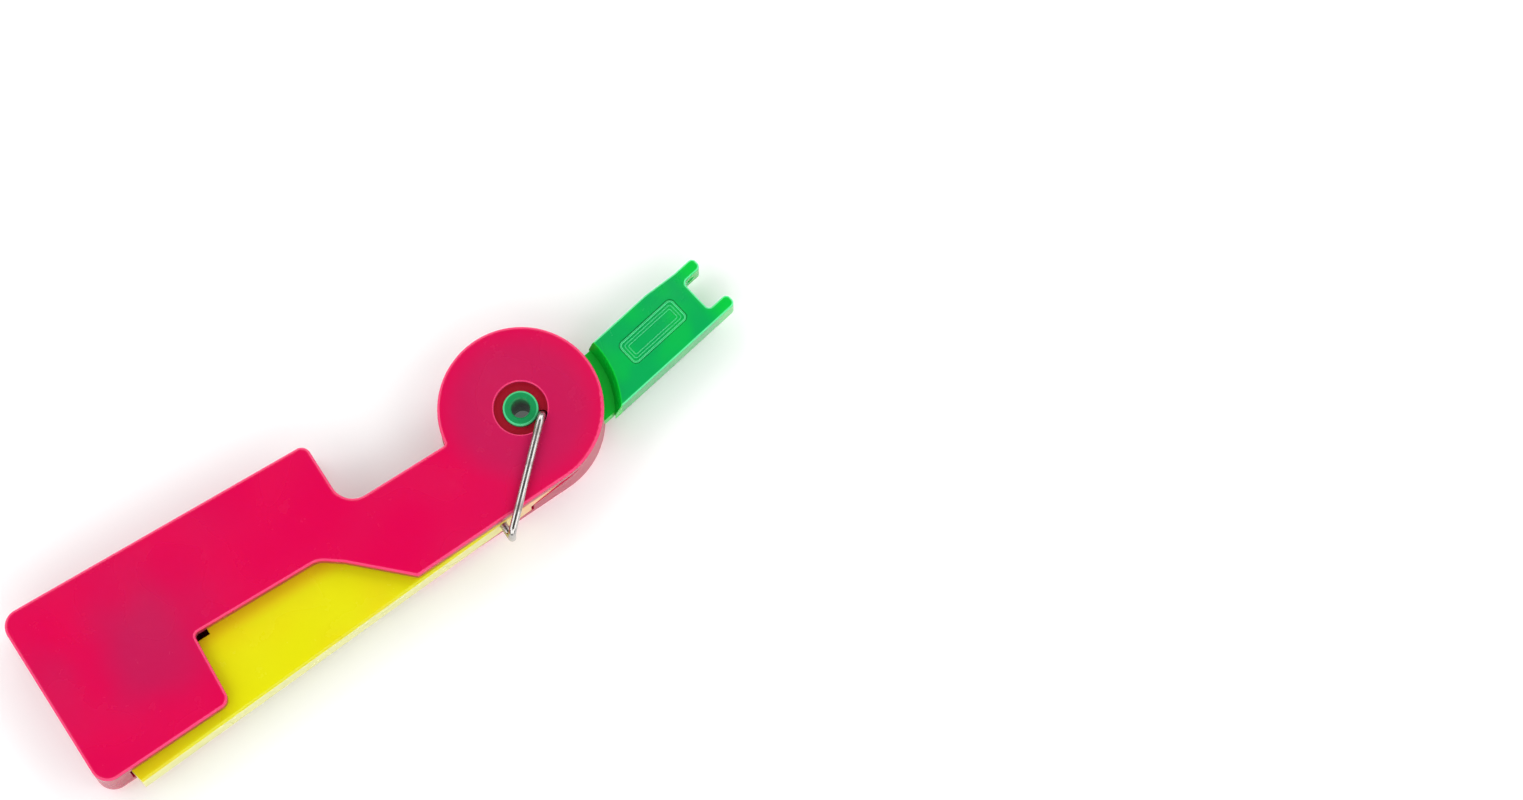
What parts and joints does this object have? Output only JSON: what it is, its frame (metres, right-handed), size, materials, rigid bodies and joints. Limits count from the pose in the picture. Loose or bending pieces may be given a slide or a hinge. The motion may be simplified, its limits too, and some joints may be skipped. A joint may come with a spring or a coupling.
{
  "type": "needle threader",
  "caption": "Hand-held needle threader: flat two-shell handle, folding fork arm that holds a needle, sprung thumb lever that pushes a thread hook.",
  "frame": {"origin": "centre of the overall box, on the flat rear face that the tool lies on", "axes": "+X from the handle's tail towards the arm, +Y towards the notched edge, +Z from the rear cheek to the front cheek, along the hub axis"},
  "size_m": [0.0866, 0.0234, 0.0079],
  "materials": {
    "shell": "polished injection-moulded translucent pink plastic",
    "lever": "polished injection-moulded yellow plastic",
    "arm": "polished injection-moulded translucent green plastic",
    "slider": "natural white acetal",
    "blade_steel": "etched spring steel strip",
    "spring_steel": "bright drawn spring wire"
  },
  "bodies": {
    "handle": {"rear_shell": "shell", "front_shell": "shell"},
    "lever": {"press_lever": "lever", "lever_spring": "spring_steel"},
    "arm": {"pivot_arm": "arm", "head_cover": "arm", "slider_spring": "spring_steel"},
    "slider": {"hook_slider": "slider", "hook_blade": "blade_steel"},
    "rod": {"push_rod": "slider"}
  },
  "joints": [
    {"name": "arm_fold", "type": "hinge", "parent": "handle", "child": "arm", "pos_m": [0.01706, 0.00111, 0.0035], "axis": [0, 0, 1], "range_deg": [0, 169.5]},
    {"name": "lever_press", "type": "hinge", "parent": "handle", "child": "lever", "pos_m": [0.01706, 0.00111, 0.0035], "axis": [0, 0, -1], "range_deg": [0, 7.5], "stiffness_Nm_per_rad": 0.2, "springref_deg": -11.46, "deforming": ["lever_spring"]},
    {"name": "rod_slide", "type": "slide", "parent": "handle", "child": "rod", "axis": [1, 0, 0], "range_m": [0, 0.0026]},
    {"name": "hook_slide", "type": "slide", "parent": "arm", "child": "slider", "axis": [0.9833, 0.1822, 0], "range_m": [0, 0.0026], "deforming": ["slider_spring"]}
  ],
  "couplings": [
    {"joint": "rod_slide", "follows": "lever_press", "m_per_rad": 0.019861},
    {"joint": "hook_slide", "follows": "lever_press", "m_per_rad": 0.019861}
  ]
}
